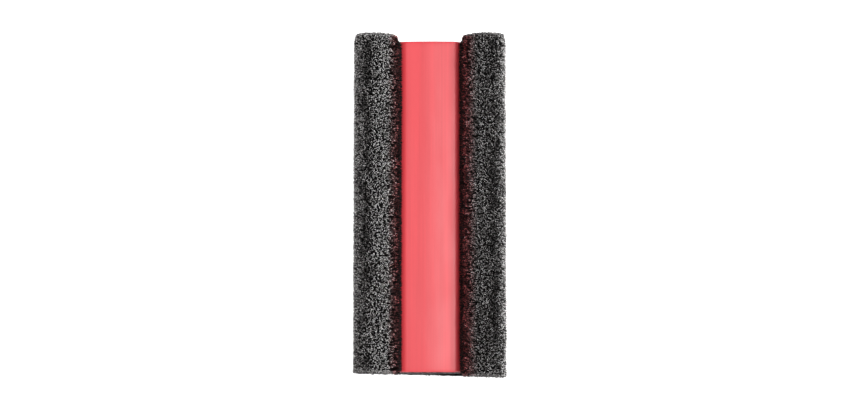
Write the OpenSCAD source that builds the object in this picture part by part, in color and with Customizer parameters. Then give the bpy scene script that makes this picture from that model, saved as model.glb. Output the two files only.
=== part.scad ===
// Soft-pile chalkboard eraser: a laminated foam core with two lengthwise
// ridges, wrapped in pile fabric whose edges are tucked into the top groove
// under a crowned plastic strip.
// Width runs along X, length along Y, height along Z. The origin is the middle
// of the underside, and the underside is the erasing face.

/* [Overall] */
// Length of the eraser, over the pile
eraser_len = 127; // [90:1:180]
// Width of the eraser, over the pile
eraser_w = 57; // [54:1:90]
// Height of the eraser, from the erasing face to the ridge crests
eraser_h = 32; // [26:0.5:48]

/* [Pile fabric] */
// Height of the pile above its backing cloth
pile_h = 4.8; // [3:0.1:6]
// Thickness of the woven backing cloth
cloth_t = 0.9; // [0.5:0.1:1.5]
// Rounding of the pile along the two lower edges
sole_r = 3.5; // [2:0.5:6]
// Rounding of the pile along the outside of each ridge
crest_r = 5; // [3:0.5:6]
// Level stretch of a ridge's top, from the eraser's side inwards
crest_w = 7; // [6:0.5:8]
// Rounding where a ridge turns down into the groove
groove_r = 8; // [4:0.5:9]
// How much lower a ridge is at the groove than at its crest
ridge_fall = 1.5; // [0.5:0.1:3]

/* [Foam core] */
// Thickness of the base slab
slab_t = 12; // [8:0.2:14.4]
// Rounding of the core's outer edges
core_r = 1.2; // [0.5:0.1:2]
// Rounding of each rail's edge beside the groove
rail_r = 2.5; // [1:0.1:2.5]
// How much lower a rail is beside the groove than outside
rail_fall = 0.8; // [0.2:0.1:1.5]
// How far the core, backing and adhesives stop short of each end of the pile
core_inset = 1; // [0.5:0.1:3]

/* [Top strip] */
// Width of the plastic strip between the two ridges
strip_w = 24; // [18:0.1:28]
// Height of the strip's crown above the slab
strip_h = 4.8; // [4:0.1:6]
// Width of each shoulder, where the crown rolls down to the strip's edge
shoulder_w = 2.3; // [1.5:0.1:4]
// Rise of the crown from its shoulders to its middle
crown_rise = 0.5; // [0.2:0.1:1]
// Drop of the crown from its shoulders to the strip's edges
shoulder_drop = 1.6; // [1:0.1:2]
// Wall thickness of the strip
strip_wall = 1.5; // [1:0.1:2]
// Thickness of the rib under the middle of the strip
rib_t = 1.6; // [1:0.1:3]
// How far the strip stops short of each end of the pile
strip_inset = 1.5; // [0.5:0.1:3]

/* [Adhesives] */
// Thickness of each adhesive film
film_t = 0.3; // [0.2:0.05:0.5]
// Height of the glue bead that holds each tucked edge of the fabric
edge_bead_h = 1; // [0.6:0.1:2]
// Width of each glue bead under the strip
strip_bead_w = 4; // [2:0.5:5]

/* [Hidden] */

// steps in each rounded corner of a profile
corner_steps = 10;
// rounding where the level top of a ridge starts to fall
top_blend_r = 12;
// rounding along the middle, the shoulders and the edges of the strip
crown_r = 60;
shoulder_r = 3.5;
strip_edge_r = 1;
// rounding of the glue beads under the strip
bead_r = 1;

cover_t = film_t + cloth_t + pile_h;
core_len = eraser_len - 2 * core_inset;
strip_len = eraser_len - 2 * strip_inset;

// the core's half width, the groove's half width in the foam, and the levels
core_x = eraser_w / 2 - cover_t;
groove_x = strip_w / 2 + cover_t;
slab_z0 = cover_t;
slab_z1 = slab_z0 + slab_t;
rail_z0 = slab_z1 + film_t;
rail_z1 = eraser_h - cover_t;
tuck_z = slab_z1 + edge_bead_h;
strip_z1 = slab_z1 + strip_h;
shoulder_z = strip_z1 - crown_rise;
strip_edge_z = shoulder_z - shoulder_drop;
underside_z = shoulder_z - strip_wall;

// the width of a rail, and its roundings where the rail leaves room for them
rail_w = core_x - groove_x;
rail_outer_r = min(core_r, rail_w / 3);
rail_inner_r = min(rail_r, 0.6 * rail_w, rail_z1 - rail_fall - tuck_z);

// a ridge turns down into the groove beyond its crest, and no deeper than the strip's edge
ridge_w = (eraser_w - strip_w) / 2;
turn_r = min(groove_r, 0.8 * (ridge_w - crest_w), eraser_h - ridge_fall - strip_edge_z);

// ---- profile functions: a corner is [x, z, rounding] ----

function flat(p) = [p.x, p.y];
function unit(v) = v / norm(v);
function heading(v) = atan2(v.y, v.x);
function turned(from, to) = (to - from + 900) % 360 - 180;
function flipped(pts) = [for (i = [len(pts) - 1 : -1 : 0]) [-pts[i].x, pts[i].y, pts[i][2]]];
function reversed(pts) = [for (i = [len(pts) - 1 : -1 : 0]) pts[i]];

// the points of one rounded corner at b, between its neighbours a and c
function corner(a, b, c, r) =
    let (
        u = unit(a - b),
        v = unit(c - b),
        half = acos(u * v) / 2,
        centre = b + unit(u + v) * r / sin(half),
        from = heading(b + u * r / tan(half) - centre),
        sweep = turned(from, heading(b + v * r / tan(half) - centre))
    )
    [
        for (k = [0 : corner_steps])
            let (angle = from + sweep * k / corner_steps)
            centre + r * [cos(angle), sin(angle)]
    ];

// a profile's points with its corners rounded; the ends of an open one have no rounding
function rounded(pts) = [
    for (i = [0 : len(pts) - 1])
        let (
            before = flat(pts[(i + len(pts) - 1) % len(pts)]),
            here = flat(pts[i]),
            after = flat(pts[(i + 1) % len(pts)])
        )
        each pts[i][2] > 0 ? corner(before, here, after, pts[i][2]) : [here]
];

// the outward side of the line from a to b, on a path that runs anticlockwise
function outward(a, b) = let (d = unit(b - a)) [d.y, -d.x];

// an open path moved outwards by d, with its roundings grown to match
function grown(pts, d) = [
    for (i = [0 : len(pts) - 1])
        let (
            here = flat(pts[i]),
            before = outward(flat(pts[max(i - 1, 0)]), flat(pts[max(i, 1)])),
            last = len(pts) - 1,
            after = outward(flat(pts[min(i, last - 1)]), flat(pts[min(i + 1, last)])),
            moved = here + (before + after) * d / (1 + before * after)
        )
        [moved.x, moved.y, pts[i][2] > 0 ? pts[i][2] + d : 0]
];

// ---- the paths ----

// the foam's surface under the fabric, from the underside up to the right tuck
core_half = [
    [core_x, slab_z0, core_r],
    [core_x, rail_z1, rail_outer_r],
    [groove_x, rail_z1 - rail_fall, rail_inner_r],
    [groove_x, tuck_z, 0]
];
core_path = concat(flipped(core_half), core_half);

// the pile's outer face, from the underside up to the right tuck
pile_half = [
    [eraser_w / 2, 0, sole_r],
    [eraser_w / 2, eraser_h, crest_r],
    [eraser_w / 2 - crest_w, eraser_h, top_blend_r],
    [strip_w / 2, eraser_h - ridge_fall, turn_r],
    [strip_w / 2, tuck_z, 0]
];
pile_path = concat(flipped(pile_half), pile_half);

// the strip's outline, from its right foot over the crown to its left foot
strip_half = [
    [strip_w / 2, slab_z1, 0],
    [strip_w / 2, strip_edge_z, strip_edge_r],
    [strip_w / 2 - shoulder_w, shoulder_z, shoulder_r]
];
strip_path = concat(strip_half, [[0, strip_z1, crown_r]], flipped(strip_half));

// ---- shared shapes ----

// a profile drawn in X and Z, run along Y about the middle
module along(length) {
    rotate([90, 0, 0])
        linear_extrude(height = length, center = true)
            children();
}

// a layer of the cover, between two distances from the foam
module layer(inner, outer) {
    polygon(concat(rounded(grown(core_path, outer)), reversed(rounded(grown(core_path, inner)))));
}

// a box between two X and two Z values, as a profile
module block(x0, x1, z0, z1) {
    translate([x0, z0])
        square([x1 - x0, z1 - z0]);
}

// the piece on the right, or its mirror image on the left
module on_side(side) {
    if (side == "left") {
        mirror([1, 0, 0])
            children();
    } else {
        children();
    }
}

// ---- the foam core ----

module base_slab() {
    color("#34332f")
        along(core_len)
            polygon(rounded([
                [-core_x, slab_z0, core_r],
                [core_x, slab_z0, core_r],
                [core_x, slab_z1, 0],
                [-core_x, slab_z1, 0]
            ]));
}

module rail(side) {
    color("#3b3a36")
        on_side(side)
            along(core_len)
                polygon(rounded([
                    [groove_x, rail_z0, 0],
                    [core_x, rail_z0, 0],
                    [core_x, rail_z1, rail_outer_r],
                    [groove_x, rail_z1 - rail_fall, rail_inner_r]
                ]));
}

// ---- the adhesives ----

module rail_glue(side) {
    color("#4a3a26")
        on_side(side)
            along(core_len)
                block(groove_x, core_x, slab_z1, rail_z0);
}

module wrap_glue() {
    color("#4a3a26")
        along(core_len)
            layer(0, film_t);
}

module edge_bead(side) {
    color("#3d2a1d")
        on_side(side)
            along(core_len)
                block(strip_w / 2, groove_x, slab_z1, tuck_z);
}

module strip_bead(side) {
    gap_x0 = rib_t / 2;
    gap_x1 = strip_w / 2 - strip_wall;
    middle = (gap_x0 + gap_x1) / 2;
    color("#3d2a1d")
        on_side(side)
            along(strip_len)
                intersection() {
                    strip_gaps();
                    polygon(rounded([
                        [middle - strip_bead_w / 2, slab_z1, 0],
                        [middle + strip_bead_w / 2, slab_z1, 0],
                        [middle + strip_bead_w / 2, underside_z + bead_r, bead_r],
                        [middle - strip_bead_w / 2, underside_z + bead_r, bead_r]
                    ]));
                }
}

// ---- the pile fabric ----

module backing_cloth() {
    color("#3a3a3e")
        along(core_len)
            layer(film_t, film_t + cloth_t);
}

module pile() {
    color("#4a4949")
        along(eraser_len)
            polygon(concat(
                rounded(pile_path),
                reversed(rounded(grown(core_path, film_t + cloth_t)))
            ));
}

// ---- the strip ----

// the two hollows under the crown, open at the slab
module strip_gaps() {
    intersection() {
        translate([0, -strip_wall])
            polygon(rounded(strip_path));
        for (side = [-1, 1])
            translate([side * (strip_w / 4 - strip_wall / 2 + rib_t / 4), slab_z1 + strip_h / 2])
                square([strip_w / 2 - strip_wall - rib_t / 2, strip_h], center = true);
    }
}

module channel_strip() {
    color("#ee6b70")
        along(strip_len)
            difference() {
                polygon(rounded(strip_path));
                strip_gaps();
            }
}

base_slab();
rail("left");  // left_rail
rail("right");  // right_rail
rail_glue("left");  // left_rail_glue
rail_glue("right");  // right_rail_glue
wrap_glue();
backing_cloth();
pile();
edge_bead("left");  // left_edge_bead
edge_bead("right");  // right_edge_bead
strip_bead("left");  // left_strip_bead
strip_bead("right");  // right_strip_bead
channel_strip();
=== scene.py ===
"""Looks of a soft-pile chalkboard eraser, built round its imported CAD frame.

The pile is made of real fibres standing on a dark root mass, because the frame's solid only gives its
outer shape. The pieces' sizes and places come from the frame's nodes. Lengths written here as a number
times MM are details on top of those, such as the fibres' thickness.
"""

import math

import bpy
import numpy as np
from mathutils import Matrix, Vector

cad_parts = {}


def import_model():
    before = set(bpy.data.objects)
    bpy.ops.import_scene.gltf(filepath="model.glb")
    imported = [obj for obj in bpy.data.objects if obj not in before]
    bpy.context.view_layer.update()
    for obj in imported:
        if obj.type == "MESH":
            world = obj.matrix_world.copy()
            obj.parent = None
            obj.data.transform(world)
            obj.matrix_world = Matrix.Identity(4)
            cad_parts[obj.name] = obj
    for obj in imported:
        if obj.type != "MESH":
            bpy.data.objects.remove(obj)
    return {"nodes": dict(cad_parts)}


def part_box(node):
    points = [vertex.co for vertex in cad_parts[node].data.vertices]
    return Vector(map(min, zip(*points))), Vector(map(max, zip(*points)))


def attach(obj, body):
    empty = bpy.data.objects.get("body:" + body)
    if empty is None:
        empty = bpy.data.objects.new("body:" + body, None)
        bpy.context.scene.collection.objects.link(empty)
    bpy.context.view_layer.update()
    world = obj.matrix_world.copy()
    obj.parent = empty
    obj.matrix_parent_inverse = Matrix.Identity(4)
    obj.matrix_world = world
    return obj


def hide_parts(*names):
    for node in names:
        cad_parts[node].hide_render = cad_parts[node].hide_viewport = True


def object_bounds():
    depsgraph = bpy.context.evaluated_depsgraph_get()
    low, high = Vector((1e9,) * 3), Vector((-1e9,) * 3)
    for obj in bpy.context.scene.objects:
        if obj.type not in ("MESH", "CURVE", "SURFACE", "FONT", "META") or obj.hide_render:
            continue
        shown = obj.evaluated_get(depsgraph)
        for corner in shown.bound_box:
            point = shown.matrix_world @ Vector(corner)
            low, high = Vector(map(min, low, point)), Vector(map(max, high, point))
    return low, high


MM = 0.001
BODY = "root"

# spacing of the points on a path, and how many times its normals are smoothed
PATH_STEP = 0.25 * MM
NORMAL_SMOOTHING = 6

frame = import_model()
cad_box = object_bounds()
rng = np.random.default_rng(7)


# ---- outlines taken from the frame ----


def end_outline(node):
    """The (x, z) outline, in order, of a node that runs straight along Y."""
    mesh = frame["nodes"][node].data
    co = np.array([v.co for v in mesh.vertices])
    end = co[:, 1].max() - 1e-6
    key = [tuple(np.round(p[[0, 2]], 7)) for p in co]
    uses = {}
    for face in mesh.polygons:
        if all(co[v, 1] > end for v in face.vertices):
            ring = [key[v] for v in face.vertices]
            for a, b in zip(ring, ring[1:] + ring[:1]):
                uses[frozenset((a, b))] = uses.get(frozenset((a, b)), 0) + 1
    links = {}
    for edge in (e for e, count in uses.items() if count == 1 and len(e) == 2):
        a, b = edge
        links.setdefault(a, []).append(b)
        links.setdefault(b, []).append(a)
    start = min(links)
    loop, before = [start], None
    while True:
        following = [p for p in links[loop[-1]] if p != before]
        before = loop[-1]
        if following[0] == start or len(loop) > len(links):
            break
        loop.append(following[0])
    return np.array(loop)


def longer_way(loop, a, b):
    """The longer part of a closed outline between its corners nearest to a and b, from a to b."""
    i = int(np.argmin(np.linalg.norm(loop - a, axis=1)))
    loop = np.roll(loop, -i, axis=0)
    j = int(np.argmin(np.linalg.norm(loop - b, axis=1)))
    ways = [loop[: j + 1], np.vstack([loop[j:], loop[:1]])[::-1]]
    return max(ways, key=lambda way: np.linalg.norm(np.diff(way, axis=0), axis=1).sum())


class Path:
    """An open outline as evenly spaced points, with its outward side on the left of its run."""

    def __init__(self, points, step):
        along = np.concatenate([[0], np.cumsum(np.linalg.norm(np.diff(points, axis=0), axis=1))])
        self.length = float(along[-1])
        count = max(2, round(self.length / step) + 1)
        self.s = np.linspace(0, self.length, count)
        self.points = np.stack([np.interp(self.s, along, points[:, k]) for k in (0, 1)], axis=1)
        tangent = np.gradient(self.points, axis=0)
        normal = np.stack([-tangent[:, 1], tangent[:, 0]], axis=1)
        for _ in range(NORMAL_SMOOTHING):
            normal[1:-1] = (normal[:-2] + 2 * normal[1:-1] + normal[2:]) / 4
        self.normals = normal / np.linalg.norm(normal, axis=1, keepdims=True)

    def at(self, s):
        """Points and outward normals at distances s along the path."""
        point = np.stack([np.interp(s, self.s, self.points[:, k]) for k in (0, 1)], axis=1)
        normal = np.stack([np.interp(s, self.s, self.normals[:, k]) for k in (0, 1)], axis=1)
        return point, normal / np.linalg.norm(normal, axis=1, keepdims=True)


strip_low, strip_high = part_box("channel_strip")
pile_low, pile_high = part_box("pile")
cloth_low, cloth_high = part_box("backing_cloth")
# the level of the fabric's tucked edges, which rest on the edge beads
tuck_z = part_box("right_edge_bead")[1].z

pile_outline = end_outline("pile")
cloth_outline = end_outline("backing_cloth")
pile_path = Path(
    longer_way(pile_outline, (strip_high.x, tuck_z), (strip_low.x, tuck_z)),
    PATH_STEP,
)
cloth_tuck_x = np.abs(cloth_outline[np.abs(cloth_outline[:, 1] - tuck_z) < 1e-6, 0])
cloth_path = Path(
    longer_way(cloth_outline, (cloth_tuck_x.min(), tuck_z), (-cloth_tuck_x.min(), tuck_z)),
    PATH_STEP,
)


# ---- noise ----


class Noise:
    """Smooth repeating noise in space, from -1 to 1, with the given number of channels."""

    SIZE = 32

    def __init__(self, cell, channels=1):
        self.cell = cell
        self.table = rng.uniform(-1, 1, (self.SIZE,) * 3 + (channels,))

    def __call__(self, points):
        q = np.asarray(points) / self.cell
        low = np.floor(q).astype(int)
        f = q - low
        f = f * f * (3 - 2 * f)
        out = 0
        for corner in np.ndindex(2, 2, 2):
            share = np.prod(np.where(corner, f, 1 - f), axis=1, keepdims=True)
            i, j, k = ((low + corner) % self.SIZE).T
            out = out + share * self.table[i, j, k]
        return out


# ---- meshes ----


def new_object(name, verts, faces, material, smooth=True):
    """An object from points and faces: an array of faces of one size, or a list of faces of any size."""
    if isinstance(faces, list):
        totals = np.array([len(face) for face in faces])
        loops = np.concatenate([np.asarray(face) for face in faces])
    else:
        totals = np.full(len(faces), faces.shape[1])
        loops = faces.ravel()
    starts = np.concatenate([[0], np.cumsum(totals)[:-1]])
    mesh = bpy.data.meshes.new(name)
    mesh.vertices.add(len(verts))
    mesh.vertices.foreach_set("co", np.asarray(verts, np.float32).ravel())
    mesh.loops.add(len(loops))
    mesh.loops.foreach_set("vertex_index", loops.astype(np.int32))
    mesh.polygons.add(len(starts))
    mesh.polygons.foreach_set("loop_start", starts.astype(np.int32))
    mesh.polygons.foreach_set("loop_total", totals.astype(np.int32))
    mesh.polygons.foreach_set("use_smooth", np.full(len(starts), smooth))
    mesh.update(calc_edges=True)
    mesh.validate()
    obj = bpy.data.objects.new(name, mesh)
    bpy.context.scene.collection.objects.link(obj)
    mesh.materials.append(material)
    return obj


def unit(v):
    """Vectors made one long."""
    return v / np.maximum(np.linalg.norm(v, axis=1, keepdims=True), 1e-12)


def in_space(xz, y):
    """(x, z) points and their y as points in space."""
    return np.stack([xz[:, 0], np.broadcast_to(y, len(xz)), xz[:, 1]], axis=1)


def band_faces(rows, columns, offset=0, flip=False):
    """The quads of a grid of rows x columns points."""
    i, j = np.meshgrid(np.arange(rows - 1), np.arange(columns - 1), indexing="ij")
    a = (i * columns + j).ravel() + offset
    quads = np.stack([a, a + 1, a + columns + 1, a + columns], axis=1)
    return quads[:, ::-1] if flip else quads


# ---- materials ----

# what the colour of fibres fully in the strip's painted red reflection is multiplied by, and the palest
# that any fibre gets
STRIP_RED_REFLECTION = (1.7, 0.32, 0.34)
PALEST_FIBRE = 0.75


def principled(name, **sockets):
    """A new material with plain values on its shader, and its node tree and shader."""
    material = bpy.data.materials.new(name)
    material.use_nodes = True
    tree = material.node_tree
    shader = next(n for n in tree.nodes if n.type == "BSDF_PRINCIPLED")
    for socket, value in sockets.items():
        shader.inputs[socket].default_value = value
    return material, tree, shader


def place_noise(tree, scale, detail=2.0, roughness=0.5, stretch=(1, 1, 1)):
    """A noise texture in the object's own coordinates; scale is in features a metre."""
    where = tree.nodes.new("ShaderNodeTexCoord")
    mapping = tree.nodes.new("ShaderNodeMapping")
    mapping.inputs["Scale"].default_value = stretch
    texture = tree.nodes.new("ShaderNodeTexNoise")
    texture.inputs["Scale"].default_value = scale
    texture.inputs["Detail"].default_value = detail
    texture.inputs["Roughness"].default_value = roughness
    tree.links.new(where.outputs["Object"], mapping.inputs["Vector"])
    tree.links.new(mapping.outputs["Vector"], texture.inputs["Vector"])
    return texture.outputs["Fac"]


def ramp(tree, value, *stops):
    """A colour ramp over value; each stop is (position, colour)."""
    node = tree.nodes.new("ShaderNodeValToRGB")
    elements = node.color_ramp.elements
    while len(elements) < len(stops):
        elements.new(0.5)
    for element, (position, colour) in zip(elements, stops):
        element.position = position
        element.color = (*colour, 1)
    tree.links.new(value, node.inputs["Fac"])
    return node.outputs["Color"]


def mixed(tree, kind, share, a, b):
    """Two colours mixed; share is a number or a socket."""
    node = tree.nodes.new("ShaderNodeMix")
    node.data_type = "RGBA"
    node.blend_type = kind
    for socket, value in (("Factor", share), ("A", a), ("B", b)):
        target = next(s for s in node.inputs if s.name == socket and s.enabled)
        if isinstance(value, bpy.types.NodeSocket):
            tree.links.new(value, target)
        else:
            target.default_value = value if socket == "Factor" else (*value, 1)
    return next(s for s in node.outputs if s.enabled)


def bumped(tree, shader, height, distance, strength=1.0):
    """Bump on the shader from a height socket, over a distance in metres."""
    node = tree.nodes.new("ShaderNodeBump")
    node.inputs["Distance"].default_value = distance
    node.inputs["Strength"].default_value = strength
    tree.links.new(height, node.inputs["Height"])
    tree.links.new(node.outputs["Normal"], shader.inputs["Normal"])


def grey(v):
    """A very slightly warm grey."""
    return (v, v * 0.985, v * 0.98)


def fibre_fact(tree, name):
    """A value that each fibre carries in its mesh: tip, shade or red_reflection, its share of painted red
    reflection.
    """
    node = tree.nodes.new("ShaderNodeAttribute")
    node.attribute_name = name
    return node.outputs["Fac"]


def fibre_material():
    """Charcoal yarn, uneven, with painted shade darkening it towards the root, painted light making it
    pale at the tip, and a painted red reflection of the strip beside it.
    """
    material, tree, shader = principled(
        "pile_fibre", Roughness=0.5, **{"Specular IOR Level": 0.15}
    )
    # painted shade darkens each fibre towards its root, and painted light makes its tip pale
    along = ramp(
        tree,
        fibre_fact(tree, "tip"),
        (0.0, grey(0.002)),
        (0.45, grey(0.006)),
        (0.8, grey(0.07)),
        (0.95, grey(0.72)),
    )
    fine = ramp(tree, place_noise(tree, 2600, 1.0), (0.36, grey(0.5)), (0.62, grey(1.4)))
    broad = ramp(tree, place_noise(tree, 240, 2.0), (0.35, grey(0.75)), (0.65, grey(1.2)))
    plain = mixed(tree, "MULTIPLY", 1.0, mixed(tree, "MULTIPLY", 1.0, along, fine), broad)
    # painted reflection: the red strip's light tints the fibres beside it
    reflection_tinted = mixed(tree, "MULTIPLY", fibre_fact(tree, "red_reflection"), plain, STRIP_RED_REFLECTION)
    scaled = tree.nodes.new("ShaderNodeVectorMath")
    scaled.operation = "SCALE"
    tree.links.new(reflection_tinted, scaled.inputs[0])
    tree.links.new(fibre_fact(tree, "shade"), scaled.inputs["Scale"])
    capped = tree.nodes.new("ShaderNodeVectorMath")
    capped.operation = "MINIMUM"
    capped.inputs[1].default_value = (PALEST_FIBRE,) * 3
    tree.links.new(scaled.outputs["Vector"], capped.inputs[0])
    tree.links.new(capped.outputs["Vector"], shader.inputs["Base Color"])
    return material


def root_material():
    """The mass of yarn between the fibres' roots, painted nearly black as the shade deep in the pile."""
    material, tree, shader = principled(
        "pile_roots", Roughness=0.95, **{"Specular IOR Level": 0.0}
    )
    # painted shade: near black, as deep in the pile
    colour = ramp(tree, place_noise(tree, 900, 3.0), (0.3, grey(0.001)), (0.7, grey(0.006)))
    tree.links.new(colour, shader.inputs["Base Color"])
    bumped(tree, shader, place_noise(tree, 1800, 2.0), 0.0004)
    return material


def strip_material():
    """Glossy extruded plastic, coral red, with faint die lines along it and soft handling marks."""
    material, tree, shader = principled(
        "strip_plastic", Roughness=0.3, **{"Specular IOR Level": 0.5}
    )
    tone = place_noise(tree, 40, 3.0, 0.6, (1, 0.3, 1))
    colour = ramp(tree, tone, (0.3, (0.60, 0.042, 0.054)), (0.7, (0.65, 0.050, 0.063)))
    die_lines = place_noise(tree, 420, 3.0, 0.7, (1, 0.015, 1))
    lines = ramp(tree, die_lines, (0.32, grey(0.9)), (0.62, grey(1.03)))
    tree.links.new(mixed(tree, "MULTIPLY", 1.0, colour, lines), shader.inputs["Base Color"])
    marks = place_noise(tree, 160, 4.0, 0.6, (1, 0.25, 1))
    rough = ramp(tree, marks, (0.3, (0.38,) * 3), (0.75, (0.5,) * 3))
    tree.links.new(rough, shader.inputs["Roughness"])
    bumped(tree, shader, place_noise(tree, 1500, 1.0, 0.5, (1, 0.01, 1)), 0.00002, 0.5)
    return material


def foam_material():
    """Dark closed-cell foam: fine pits, with painted shade darkening each pit towards its middle."""
    material, tree, shader = principled("foam", Roughness=0.85, **{"Specular IOR Level": 0.25})
    cells = tree.nodes.new("ShaderNodeTexVoronoi")
    cells.inputs["Scale"].default_value = 1500
    where = tree.nodes.new("ShaderNodeTexCoord")
    tree.links.new(where.outputs["Object"], cells.inputs["Vector"])
    distance = cells.outputs["Distance"]
    # painted shade: darker where the bump makes each pit deeper
    colour = ramp(tree, distance, (0.0, grey(0.018)), (0.45, grey(0.05)), (0.8, grey(0.09)))
    tree.links.new(colour, shader.inputs["Base Color"])
    bumped(tree, shader, distance, 0.00025)
    return material


def cloth_material():
    """Dark woven ground cloth."""
    material, tree, shader = principled("backing_cloth", Roughness=0.8, **{"Sheen Weight": 0.1})
    colour = ramp(tree, place_noise(tree, 1800, 2.0), (0.3, grey(0.02)), (0.7, grey(0.06)))
    tree.links.new(colour, shader.inputs["Base Color"])
    bumped(tree, shader, place_noise(tree, 2400, 1.0), 0.0002)
    return material


def glue_material(name, low, high):
    """Dried glue, uneven between two colours."""
    material, tree, shader = principled(name, Roughness=0.6, **{"Specular IOR Level": 0.2})
    colour = ramp(tree, place_noise(tree, 300, 3.0), (0.3, low), (0.7, high))
    tree.links.new(colour, shader.inputs["Base Color"])
    bumped(tree, shader, place_noise(tree, 500, 2.0), 0.0001)
    return material


FIBRE = fibre_material()
ROOTS = root_material()
STRIP = strip_material()
FOAM = foam_material()
CLOTH = cloth_material()
FILM = glue_material("glue_film", (0.05, 0.03, 0.014), (0.09, 0.055, 0.026))
HOT_MELT = glue_material("hot_melt", (0.030, 0.013, 0.007), (0.06, 0.03, 0.016))


def dress(node, material):
    """A CAD node that stays, with its own better material."""
    obj = frame["nodes"][node]
    obj.data.materials.clear()
    obj.data.materials.append(material)


# ---- the pile ----

# depth of the fibres' roots, and of the dark root mass, under the pile's outer face
ROOT_DEPTH = 1.9 * MM
SKIN_DEPTH = 1.6 * MM
SKIN_STEP = 0.8 * MM
# how far the root mass stops short of the cut ends
END_SETBACK = 1.0 * MM

# tufts: their spacing, the fibres in each, and the spread of shade between tufts and between fibres
TUFT_PITCH = 0.7 * MM
TUFT_FIBRES = 2
TUFT_SPREAD = 0.6
FIBRE_SPREAD = 0.3
# about how far a fibre's corners are from its middle line, and how many corners it has
FIBRE_RADIUS = 0.12 * MM
FIBRE_SIDES = 3
END_FIBRES = 9000

# the cut ends: rounding of their edges outside and by the groove, how much longer or shorter than the
# frame's pile they are, how far the near one is askew, and how far the far one dips beside the groove
FAR_ROUNDING = 2.8 * MM
NEAR_ROUNDING = 1.3 * MM
GROOVE_ROUNDING = 0.9 * MM
FAR_TRIM = -0.5 * MM
NEAR_TRIM = 0.57 * MM
NEAR_SKEW = 0.83 * MM
FAR_DIP = 0.5 * MM

# the dark line along each ridge, and how much shorter the fibres are there and how much painted shade
# darkens them
CREST_IN = 4.4 * MM
CREST_WIDE = 2.5 * MM
CREST_SHORTER = 0.45 * MM
CREST_PAINTED_SHADE = 0.8

# painted shade in the crevice along the strip, darker on the left, and darkest where the fibres touch the
# strip
CREVICE_WIDE = 3.0 * MM
CREVICE_DEPTH = 0.1 * MM
LEFT_CREVICE_SHADE = 0.96
RIGHT_CREVICE_SHADE = 0.65
CREVICE_SPREAD = 0.6
TOUCH_WIDE = 1.3 * MM
TOUCH_FADE = 0.7 * MM
TOUCH_SHADE = 0.92

# how far the fibres on the groove's walls hang over the strip, how much more they do on the left, and how
# far from the far end that starts
OVERHANG = 1.2 * MM
LEFT_OVERHANG = 1.5
OVERHANG_FROM = 1.6 * MM

# how far from the strip the fibres carry its painted red reflection
RED_REFLECTION_LEFT = 3.4 * MM
RED_REFLECTION_RIGHT = 5.4 * MM

# painted light on the slope inside the left ridge, and on the outer rims
LEFT_SLOPE_LIGHT_AT = 18.4 * MM
LEFT_SLOPE_LIGHT_WIDE = 4.8 * MM
LEFT_SLOPE_LIGHT = 1.9
RIM_DEPTH = 8 * MM
RIM_LIGHT = 0.4

clump_lean = Noise(1.3 * MM, 3)
patch_lean = Noise(5 * MM, 3)
swell = Noise(4 * MM)
lump = Noise(1.1 * MM)
blotch = Noise(3.2 * MM)
wander = Noise(6 * MM)


def crest_share(at):
    """From 0 to 1, how far the pile is opened up over a ridge's outer bend."""
    off = np.abs(at[:, 0]) - (pile_high.x - CREST_IN) + 0.8 * MM * wander(at)[:, 0]
    off = off / CREST_WIDE
    off = np.where(off > 0, 1.6, 1.0) * off
    up = np.clip((at[:, 2] - strip_high.z) / (4 * MM), 0, 1)
    uneven = np.clip(0.8 + 1.0 * blotch(at * (1, 0.6, 1))[:, 0], 0, 1.3)
    return np.exp(-(off**2)) * up * uneven


def crevice_share(at):
    """From 0 to 1, how near the pile is to the crevice along the strip."""
    near = (strip_high.x + CREVICE_WIDE - np.abs(at[:, 0])) / (0.5 * CREVICE_WIDE)
    near = near + 0.3 * blotch(at)[:, 0]
    high = np.clip((at[:, 2] - strip_high.z) / (0.6 * (pile_high.z - strip_high.z)), 0, 1)
    return np.clip(near, 0, 1) * (1 - 0.15 * high) * (at[:, 2] > tuck_z)


def red_reflection_share(at):
    """From 0 to 1, how much painted red reflection of the strip the pile beside it carries, further off
    on the right.
    """
    wide = np.where(at[:, 0] < 0, RED_REFLECTION_LEFT, RED_REFLECTION_RIGHT)
    near = (strip_high.x + wide - np.abs(at[:, 0])) / (0.8 * wide)
    return np.clip(near, 0, 1) ** 1.3 * (at[:, 2] > tuck_z)


def touch_share(at):
    """From 0 to 1, how nearly the pile touches the strip."""
    near = (strip_high.x + TOUCH_WIDE - np.abs(at[:, 0])) / TOUCH_FADE
    return np.clip(near, 0, 1) * (at[:, 2] > tuck_z)


def rim_light_share(at, normal):
    """From 0 to 1, how much painted light the pile gets where it has turned over at a ridge's outer rim,
    sooner on the right.
    """
    rim = np.clip(np.abs(2 * normal[:, 0]) - np.where(at[:, 0] > 0, 0.3, 1.1), 0, 1)
    return rim * (at[:, 2] > pile_high.z - RIM_DEPTH) * (np.abs(at[:, 0]) > 0.8 * pile_high.x)


def left_slope_light_share(at, normal):
    """From 0 to 1, how much painted light the top of the pile gets inside the left ridge's crest."""
    return np.exp(-(((at[:, 0] + LEFT_SLOPE_LIGHT_AT) / LEFT_SLOPE_LIGHT_WIDE) ** 2)) * (normal[:, 1] > 0.5)


def recess(at):
    """How far the outer face steps back beside the strip."""
    return CREVICE_DEPTH * crevice_share(at)


def overhang(at, normal, from_end, crevice):
    """How much longer the fibres on the groove's walls are, to hang over the strip's edges."""
    start = np.where(at[:, 1] > 0, OVERHANG_FROM, 0)
    share = crevice * (np.abs(normal[:, 0]) > 0.5) * np.clip((from_end - start) / OVERHANG, 0, 1)
    return OVERHANG * share * np.where(at[:, 0] < 0, LEFT_OVERHANG, 1.0)


def end_y(x, side):
    """Where a cut end is at x: the near one is slightly askew, the far one dips to the groove."""
    if side < 0:
        return -(pile_high.y - NEAR_TRIM) - NEAR_SKEW * x / pile_high.x
    inner = np.clip((0.8 * pile_high.x - np.abs(x)) / (0.4 * pile_high.x), 0, 1)
    return pile_high.y - FAR_TRIM - FAR_DIP * inner


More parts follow.
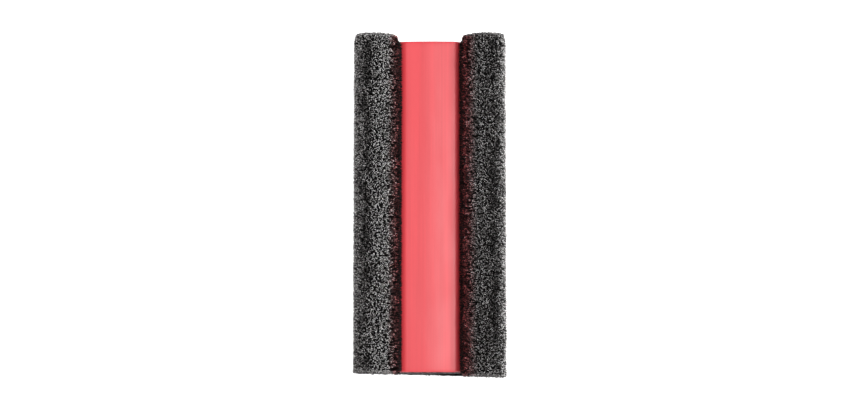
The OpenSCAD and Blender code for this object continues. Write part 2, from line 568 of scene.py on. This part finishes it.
def closed_band(rows, columns):
    """The faces of a sheet whose outer grid of points is followed by its inner one."""
    n = rows * columns
    faces = [band_faces(rows, columns), band_faces(rows, columns, n, flip=True)]
    for j, flip in ((0, True), (rows - 1, False)):
        a = np.arange(columns - 1) + j * columns
        quads = np.stack([a, a + 1, a + 1 + n, a + n], axis=1)
        faces.append(quads[:, ::-1] if flip else quads)
    for i, flip in ((0, False), (columns - 1, True)):
        a = np.arange(rows - 1) * columns + i
        quads = np.stack([a, a + columns, a + columns + n, a + n], axis=1)
        faces.append(quads[:, ::-1] if flip else quads)
    return np.vstack(faces)


def end_turn(from_end, x, is_far):
    """How far the pile has turned over at a rounded end, from 0 to 1, and how far its face steps back."""
    outer = np.clip((np.abs(x) / pile_high.x - 0.55) / 0.3, 0, 1)
    outer_rounding = np.where(is_far, FAR_ROUNDING, NEAR_ROUNDING)
    rounding = GROOVE_ROUNDING + outer * (outer_rounding - GROOVE_ROUNDING)
    turn = np.clip(1 - from_end / rounding, 0, 1)
    return turn, rounding * (1 - np.sqrt(1 - turn**2))


def skin():
    """The dark root mass under the fibres: a closed solid from the backing cloth outwards."""
    s = np.linspace(0, 1, round(pile_path.length / SKIN_STEP) + 1)
    near_y = pile_low.y + END_SETBACK
    far_y = pile_high.y - FAR_TRIM - END_SETBACK
    run = np.linspace(near_y, far_y, round((pile_high.y - pile_low.y) / SKIN_STEP) + 1)
    outer, normal = pile_path.at(s * pile_path.length)
    inner, _ = cloth_path.at(s * cloth_path.length)
    outer_rows, inner_rows = [], []
    for y in run:
        at = in_space(outer, y)
        push = -SKIN_DEPTH + 0.3 * MM * lump(at) + 0.2 * MM * swell(at)
        push = push - recess(at)[:, None]
        outer_rows.append(in_space(outer + normal * push, y))
        inner_rows.append(in_space(inner, y))
    verts = np.vstack(outer_rows + inner_rows)
    return new_object("pile_roots", verts, closed_band(len(run), len(s)), ROOTS)


def fibres(name, root, ways, length, radius, shade, red_reflection):
    """Crinkled fibres: pointed stalks whose three stretches run along the three ways."""
    count = len(root)
    helper = unit(rng.normal(size=(count, 3)))
    across = unit(np.cross(ways[0], helper))
    beside = unit(np.cross(ways[0], across))
    length, radius = length[:, None], radius[:, None]
    knee = root + ways[0] * length * 0.5
    neck = knee + ways[1] * length * 0.36
    tip = neck + ways[2] * length * 0.14
    angles = 2 * math.pi * np.arange(FIBRE_SIDES) / FIBRE_SIDES
    rings = []
    for centre, share in ((root, 0.8), (knee, 0.9), (neck, 1.1)):
        for a in angles:
            rings.append(centre + (across * math.cos(a) + beside * math.sin(a)) * radius * share)
    verts = np.stack([*rings, tip], axis=1)
    verts[:, :, 2] = np.maximum(verts[:, :, 2], pile_low.z)
    per = verts.shape[1]
    turns = [(k, (k + 1) % FIBRE_SIDES) for k in range(FIBRE_SIDES)]
    tris = []
    for ring in (0, FIBRE_SIDES):
        for a, b in ((ring + k, ring + following) for k, following in turns):
            tris += [(a, b, b + FIBRE_SIDES), (a, b + FIBRE_SIDES, a + FIBRE_SIDES)]
    neck_ring, point = 2 * FIBRE_SIDES, 3 * FIBRE_SIDES
    tris += [(neck_ring + k, neck_ring + following, point) for k, following in turns]
    tris += [tuple(range(FIBRE_SIDES - 1, -1, -1))]
    faces = (np.array(tris)[None] + (np.arange(count) * per)[:, None, None]).reshape(-1, 3)
    obj = new_object(name, verts.reshape(-1, 3), faces, FIBRE)
    along = np.repeat([0, 0.45, 0.8, 1.0], [FIBRE_SIDES, FIBRE_SIDES, FIBRE_SIDES, 1])
    facts = {
        "tip": np.tile(along, count),
        "shade": np.repeat(shade, per),
        "red_reflection": np.repeat(red_reflection, per),
    }
    for fact, values in facts.items():
        attribute = obj.data.attributes.new(fact, "FLOAT", "POINT")
        attribute.data.foreach_set("value", values.astype(np.float32))
    return obj


def surface_fibres(name, s0, s1):
    """Tufts of fibres standing on the pile's outer face between two distances along its path."""
    columns = max(1, round((s1 - s0) / TUFT_PITCH))
    rows = round((pile_high.y - pile_low.y) / TUFT_PITCH)
    i, j = np.meshgrid(np.arange(columns), np.arange(rows), indexing="ij")
    i = i + 0.5 * (j % 2)
    tufts = i.size
    s = s0 + (i.ravel() + rng.uniform(0, 0.8, tufts)) * (s1 - s0) / columns
    share = (j.ravel() + rng.uniform(0.1, 0.9, tufts)) / rows
    s, share = np.repeat(s, TUFT_FIBRES), np.repeat(share, TUFT_FIBRES)
    tuft_length = np.repeat(rng.uniform(-0.25, 0.2, tufts), TUFT_FIBRES)
    tuft_shade = np.repeat(np.exp(TUFT_SPREAD * rng.normal(size=tufts)), TUFT_FIBRES)
    count = len(s)
    xz, normal = pile_path.at(s)
    far, near = end_y(xz[:, 0], 1), end_y(xz[:, 0], -1)
    y = near + (far - near) * share
    from_end = np.minimum(y - near, far - y)
    turn, inset = end_turn(from_end, xz[:, 0], y > 0)
    outward = unit(in_space(normal, 0.0) + (0.9 * turn * np.sign(y))[:, None] * (0, 1, 0))
    plain = in_space(xz, y)
    inset = inset + recess(plain)
    crest, crevice = crest_share(plain), crevice_share(plain)
    surface = in_space(xz - normal * inset[:, None], y)
    steady = 1 - 0.5 * (np.abs(normal[:, :1]) > 0.9)
    lean = steady * (0.4 * clump_lean(surface) + 0.2 * patch_lean(surface))
    lean = lean + 0.12 * np.repeat(rng.normal(size=(tufts, 3)), TUFT_FIBRES, axis=0)
    own = rng.normal(size=(count, 3))
    curl = rng.normal(size=(count, 3))
    root = surface - outward * ROOT_DEPTH + 0.1 * MM * own
    ways = [
        unit(outward + 0.3 * lean + 0.06 * own),
        unit(outward + 0.9 * lean + 0.12 * own),
        unit(outward + 1.2 * lean + 0.15 * own + 0.35 * steady * curl),
    ]
    uneven = tuft_length + 0.2 * swell(surface)[:, 0] + rng.uniform(-0.2, 0.15, count)
    length = ROOT_DEPTH + MM * steady[:, 0] * uneven
    length = length - CREST_SHORTER * crest + overhang(plain, normal, from_end, crevice)
    radius = FIBRE_RADIUS * rng.uniform(0.75, 1.25, count)
    shade = tuft_shade * np.exp(FIBRE_SPREAD * rng.normal(size=count))
    # painted light: on the slope inside the left ridge, on the outer rims, and, through normal x, more on
    # sides facing right
    painted_light = LEFT_SLOPE_LIGHT * left_slope_light_share(plain, normal) + RIM_LIGHT * rim_light_share(plain, normal)
    # painted shade over the ridges' outer bends, where the pile opens up
    shade = shade * (1.2 + 0.2 * normal[:, 0] + painted_light) * (1 - CREST_PAINTED_SHADE * np.minimum(crest, 1))
    # painted shade in the crevice beside the strip, darker on the left, and most where the fibres touch
    # it
    crevice_shade = np.where(plain[:, 0] < 0, LEFT_CREVICE_SHADE, RIGHT_CREVICE_SHADE)
    shade = shade * (1 - crevice_shade * np.sqrt(crevice)) * (1 - TOUCH_SHADE * touch_share(plain))
    crevice_tufts = np.repeat(np.exp(CREVICE_SPREAD * rng.normal(size=tufts)), TUFT_FIBRES)
    shade = shade * crevice_tufts**crevice
    return fibres(name, root, ways, length, radius, shade, red_reflection_share(plain))


def end_fibres(name, side):
    """Fibres seen side-on in a cut end, running from the backing cloth to the outer face."""
    count = END_FIBRES
    share = rng.uniform(0, 1, count)
    inner, _ = cloth_path.at(share * cloth_path.length)
    outer, _ = pile_path.at(share * pile_path.length)
    deep = rng.uniform(0.05, 0.9, count) * MM
    reach = np.linalg.norm(outer - inner, axis=1) - end_turn(deep, outer[:, 0], side > 0)[1]
    start = rng.uniform(0, 0.85, count) * reach
    begin = inner + unit(outer - inner) * start[:, None]
    y = end_y(begin[:, 0], side) - side * deep
    root = in_space(begin, y)
    way = unit(in_space(outer - inner, 0.0))
    lean = 0.4 * clump_lean(root) + 0.3 * rng.normal(size=(count, 3))
    lean[:, 1] = np.abs(lean[:, 1]) * side * 0.8
    ways = [unit(way + 0.4 * lean), unit(way + 0.7 * lean), unit(way + lean)]
    length = np.minimum(rng.uniform(0.8, 2.2, count) * MM, reach - start + 0.1 * MM)
    radius = FIBRE_RADIUS * rng.uniform(0.7, 1.2, count)
    shade = 0.6 * np.exp(0.35 * rng.normal(size=count))
    # the end fibres beside the strip carry its painted red reflection too
    return fibres(name, root, ways, length, radius, shade, 0.7 * crevice_share(root))


def pile():
    """All the pieces of the pile: its roots, its standing fibres and its two cut ends."""
    pieces = [skin()]
    visible = pile_path.s[pile_path.points[:, 1] > tuck_z + 0.9 * MM]
    crest = pile_path.s[np.argmax(pile_path.points[:, 1] > pile_high.z - 0.01 * MM)]
    bottom = pile_path.s[pile_path.points[:, 1] < 0.01 * MM]
    side = pile_path.s[np.argmax(pile_path.normals[:, 0] > 0.98)]
    edge, middle = bottom.min(), pile_path.length / 2
    marks = [visible.min(), crest, side, (side + edge) / 2, edge, (edge + middle) / 2]
    marks += [middle] + [pile_path.length - mark for mark in marks[::-1]]
    parts = ["groove", "ridge", "side_top", "side_foot", "sole_rim", "sole_middle"]
    names = ["right_" + part for part in parts] + ["left_" + part for part in parts[::-1]]
    for name, s0, s1 in zip(names, marks, marks[1:]):
        pieces.append(surface_fibres("pile_" + name, s0, s1))
    pieces.append(end_fibres("pile_far_end", 1))
    pieces.append(end_fibres("pile_near_end", -1))
    return pieces


# ---- the backing cloth ----

# spacing and relief of the threads, and how far the cut ends fray back
THREAD = 0.8 * MM
THREAD_RELIEF = 0.07 * MM
FRAY = 0.35 * MM
fray = Noise(0.7 * MM)


def backing():
    """The woven backing: a closed sheet along the wrap, with its threads' relief and frayed cut ends."""
    thickness = cloth_tuck_x.max() - cloth_tuck_x.min() - 2 * THREAD_RELIEF
    columns = round(cloth_path.length / THREAD) + 1
    rows = round((cloth_high.y - cloth_low.y) / THREAD) + 1
    outer, normal = cloth_path.at(np.linspace(0, cloth_path.length, columns))
    run = np.linspace(cloth_low.y + 0.2 * MM, cloth_high.y - 0.2 * MM, rows)
    faces_out, faces_in = [], []
    for j, y in enumerate(run):
        over = THREAD_RELIEF * (-1.0) ** (np.arange(columns) + j)
        out = in_space(outer + normal * (over - THREAD_RELIEF)[:, None], y)
        back = in_space(outer - normal * (thickness - over)[:, None], y)
        if j in (0, rows - 1):
            back_in = FRAY * (1 + fray(out)[:, 0]) / 2 * (1 if j == 0 else -1)
            out[:, 1] += back_in
            back[:, 1] += back_in
        faces_out.append(out)
        faces_in.append(back)
    verts = np.vstack([np.array(faces_out).reshape(-1, 3), np.array(faces_in).reshape(-1, 3)])
    return new_object("woven_backing", verts, closed_band(rows, columns), CLOTH)


# ---- pieces swept along Y from their frame outlines ----


def swept(name, node, material, edge, ripple, cell, step=0.6 * MM, top_only=False):
    """A piece that runs straight along Y: the node's outline, with its end edges rounded by edge.

    Its faces wave inwards by up to ripple, cell by cell, or only its upper ones do if top_only.
    """
    low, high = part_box(node)
    loop = end_outline(node)
    x, z = loop.T
    if np.sum(x * np.roll(z, -1) - z * np.roll(x, -1)) < 0:
        loop = loop[::-1]
    fine = []
    for a, b in zip(loop, np.roll(loop, -1, axis=0)):
        steps = max(1, round(np.linalg.norm(b - a) / step))
        fine += [a + (b - a) * k / steps for k in range(steps)]
    loop = np.array(fine)
    tangent = unit(np.roll(loop, -1, axis=0) - np.roll(loop, 1, axis=0))
    inward = np.stack([-tangent[:, 1], tangent[:, 0]], axis=1)
    quarter = np.linspace(0, math.pi / 2, 5)
    rings = [(low.y + edge * (1 - math.cos(a)), edge * (1 - math.sin(a))) for a in quarter]
    count = round((high.y - low.y) / (2.2 * step))
    rings += [(y, 0.0) for y in np.linspace(low.y + edge, high.y - edge, count)[1:-1]]
    rings += [(high.y + low.y - y, inset) for y, inset in rings[4::-1]]
    wave = Noise(cell)
    is_waving = loop[:, 1] > low.z + 0.5 * (high.z - low.z) if top_only else 1.0
    verts = []
    for y, inset in rings:
        depth = inset + ripple * is_waving * (1 + wave(in_space(loop, y))[:, 0]) / 2
        verts.append(in_space(loop + inward * depth[:, None], y))
    rows, columns = len(rings), len(loop)
    i, j = np.meshgrid(np.arange(rows - 1), np.arange(columns), indexing="ij")
    a = (i * columns + j).ravel()
    b = (i * columns + (j + 1) % columns).ravel()
    faces = [tuple(q) for q in np.stack([a, a + columns, b + columns, b], axis=1)]
    faces.append(tuple(range(columns)))
    faces.append(tuple(range(rows * columns - 1, (rows - 1) * columns - 1, -1)))
    obj = new_object(name, np.array(verts).reshape(-1, 3), faces, material)
    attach(obj, BODY)
    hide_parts(node)
    return obj


# ---- build ----

pile_pieces = pile()
for piece in pile_pieces:
    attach(piece, BODY)
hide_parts("pile")

red_strip = swept(
    "red_strip", "channel_strip", STRIP, 0.45 * MM, 0.1 * MM, 22 * MM, top_only=True
)

for node in ("base_slab", "left_rail", "right_rail"):
    foam = swept("foam_" + node, node, FOAM, 0.3 * MM, 0.12 * MM, 2.5 * MM, step=0.9 * MM)
for node in ("left_edge_bead", "right_edge_bead", "left_strip_bead", "right_strip_bead"):
    bead = swept("glue_" + node, node, HOT_MELT, 0.35 * MM, 0.22 * MM, 3 * MM)

cloth = backing()
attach(cloth, BODY)
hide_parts("backing_cloth")
for node in ("left_rail_glue", "right_rail_glue", "wrap_glue"):
    dress(node, FILM)


# ---- stage, light and camera ----


FLOOR_REACH = 3.0
FLOOR_GLOW = 0.8


def floor():
    """A white floor that glows enough to show no shadow."""
    material, _, _ = principled(
        "floor",
        Roughness=0.9,
        **{
            "Specular IOR Level": 0.1,
            "Base Color": (0.8, 0.8, 0.8, 1),
            "Emission Color": (1, 1, 1, 1),
            "Emission Strength": FLOOR_GLOW,
        },
    )
    corners = [(x * FLOOR_REACH, y * FLOOR_REACH, 0) for x, y in ((-1, -1), (1, -1), (1, 1), (-1, 1))]
    new_object("floor", corners, [(0, 1, 2, 3)], material, smooth=False)


# name, place, size and power of each light; all of them face the object
LIGHTS = [
    ("overhead", (0.25, 0.05, 1.2), 0.8, 6),
    ("highlight", (0.22, 0.0, 1.2), 0.3, 2),
    ("right_high", (0.6, 0.0, 0.9), 0.5, 9.5),
    ("right_low", (0.9, 0.0, 0.22), 0.4, 12),
    ("left_low", (-0.9, 0.0, 0.18), 0.4, 7),
]
LIT_POINT = Vector((0, 0, 0.02))


def area_light(name, place, size, power):
    """A round light that faces the object."""
    light = bpy.data.lights.new(name, "AREA")
    light.shape = "DISK"
    light.size = size
    light.energy = power
    obj = bpy.data.objects.new(name, light)
    bpy.context.scene.collection.objects.link(obj)
    obj.location = place
    obj.rotation_euler = (LIT_POINT - Vector(place)).to_track_quat("-Z", "Y").to_euler()


def world(strength):
    """A white surround that lights the object at the given strength and shows as plain white."""
    background = bpy.data.worlds.new("studio")
    bpy.context.scene.world = background
    background.use_nodes = True
    tree = background.node_tree
    node = tree.nodes["Background"]
    node.inputs["Color"].default_value = (1, 1, 1, 1)
    seen = tree.nodes.new("ShaderNodeLightPath")
    level = tree.nodes.new("ShaderNodeMapRange")
    level.inputs["To Min"].default_value = strength
    level.inputs["To Max"].default_value = 1.0
    tree.links.new(seen.outputs["Is Camera Ray"], level.inputs["Value"])
    tree.links.new(level.outputs["Result"], node.inputs["Strength"])


# the camera's lens in mm, its elevation in degrees and its distance, and how far its target is
# shifted from the object's middle
LENS = 83.4
ELEVATION = 84.8
DISTANCE = 0.75
TARGET_SHIFT = Vector((0, 0.75 * MM, 0))


def camera():
    """The camera, looking down at the object from a little in front."""
    data = bpy.data.cameras.new("camera")
    obj = bpy.data.objects.new("camera", data)
    bpy.context.scene.collection.objects.link(obj)
    data.sensor_width = 36
    data.lens = LENS
    data.clip_start = 0.01
    elevation = math.radians(ELEVATION)
    low, high = cad_box
    back = Vector((0, -math.cos(elevation), math.sin(elevation)))
    obj.location = (Vector(low) + Vector(high)) / 2 + TARGET_SHIFT + back * DISTANCE
    obj.rotation_euler = (-back).to_track_quat("-Z", "Y").to_euler()
    bpy.context.scene.camera = obj


floor()
world(0.24)
for light in LIGHTS:
    area_light(*light)
camera()
bpy.context.scene.view_settings.view_transform = "Standard"
